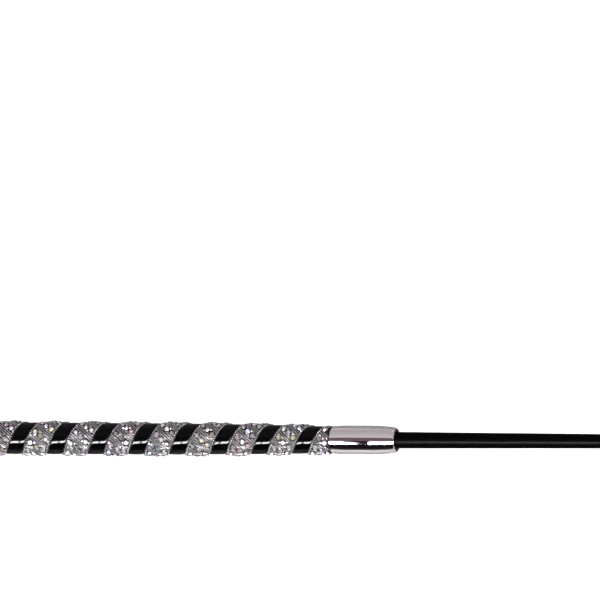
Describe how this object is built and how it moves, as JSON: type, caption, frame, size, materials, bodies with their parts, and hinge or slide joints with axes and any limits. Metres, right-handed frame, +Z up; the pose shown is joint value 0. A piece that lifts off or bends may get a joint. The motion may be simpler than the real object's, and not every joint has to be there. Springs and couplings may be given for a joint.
{
  "type": "dressage whip",
  "caption": "Slim riding whip with a spiral wound grip in patent and stone set strip, metal ferrule and end cap, braided tapering shaft and a short braided lash.",
  "frame": {"origin": "centre of the whip's footprint on the floor it lies on, measured without the lash", "axes": "+X along the whip from the butt to the lash, +Y across it, +Z up from the floor"},
  "size_m": [1.1009, 0.02, 0.02],
  "materials": {
    "chrome": "polished",
    "core_plastic": "matt",
    "patent": "high gloss patent",
    "crystal": "faceted stones with an iridescent coat in silver settings",
    "bush_rubber": "satin",
    "glassfibre": "satin",
    "braid_nylon": "tight braid with a satin coat",
    "whipping_thread": "waxed thread",
    "lash_nylon": "soft braid"
  },
  "bodies": {
    "whip": {"end_cap": "chrome", "cap_plug": "core_plastic", "handle_core": "core_plastic", "patent_strip": "patent", "crystal_strip": "crystal", "ferrule": "chrome", "ferrule_bush": "bush_rubber", "shaft_core": "glassfibre", "shaft_braid": "braid_nylon", "tip_whipping": "whipping_thread", "lash_root": "lash_nylon"},
    "neck": {"neck_whipping": "whipping_thread"},
    "lash": {"lash": "lash_nylon", "lash_end_whipping": "whipping_thread", "lash_tuft": "lash_nylon"}
  },
  "joints": [
    {"name": "lash_swing", "type": "hinge", "parent": "whip", "child": "neck", "pos_m": [0.47851, 0, 0.00245], "axis": [0, 0, 1], "range_deg": [-75, 75]},
    {"name": "lash_lift", "type": "hinge", "parent": "neck", "child": "lash", "pos_m": [0.47851, 0, 0.00245], "axis": [0, -1, 0], "range_deg": [0, 75]}
  ]
}
